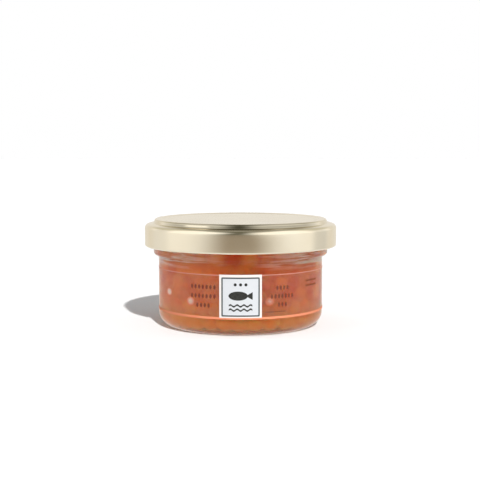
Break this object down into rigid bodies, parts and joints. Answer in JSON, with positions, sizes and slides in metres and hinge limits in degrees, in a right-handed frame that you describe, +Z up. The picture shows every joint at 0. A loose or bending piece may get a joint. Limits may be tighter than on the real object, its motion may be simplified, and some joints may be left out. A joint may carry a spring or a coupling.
{
  "type": "jar of salmon roe",
  "caption": "Sealed low round glass jar filled with orange salmon roe, with a gold twist-off metal lid and a clear wrap label that carries a white square badge.",
  "frame": {"origin": "centre of the jar's base, on the surface that it stands on", "axes": "+Z up along the jar's axis, -Y towards the label's white badge, +X to the viewer's right when the badge is seen from the front"},
  "size_m": [0.0726, 0.0726, 0.0403],
  "materials": {
    "clear_glass": "clear polished glass",
    "roe": "wet translucent salmon roe",
    "champagne_gold": "pale gold lacquered tinplate",
    "label_film": "clear plastic film, slightly hazy",
    "badge_paper": "white paper"
  },
  "bodies": {
    "root": {"jar": "clear_glass", "roe": "roe", "lid": "champagne_gold", "label_film": "label_film", "label_badge": "badge_paper"}
  },
  "joints": []
}
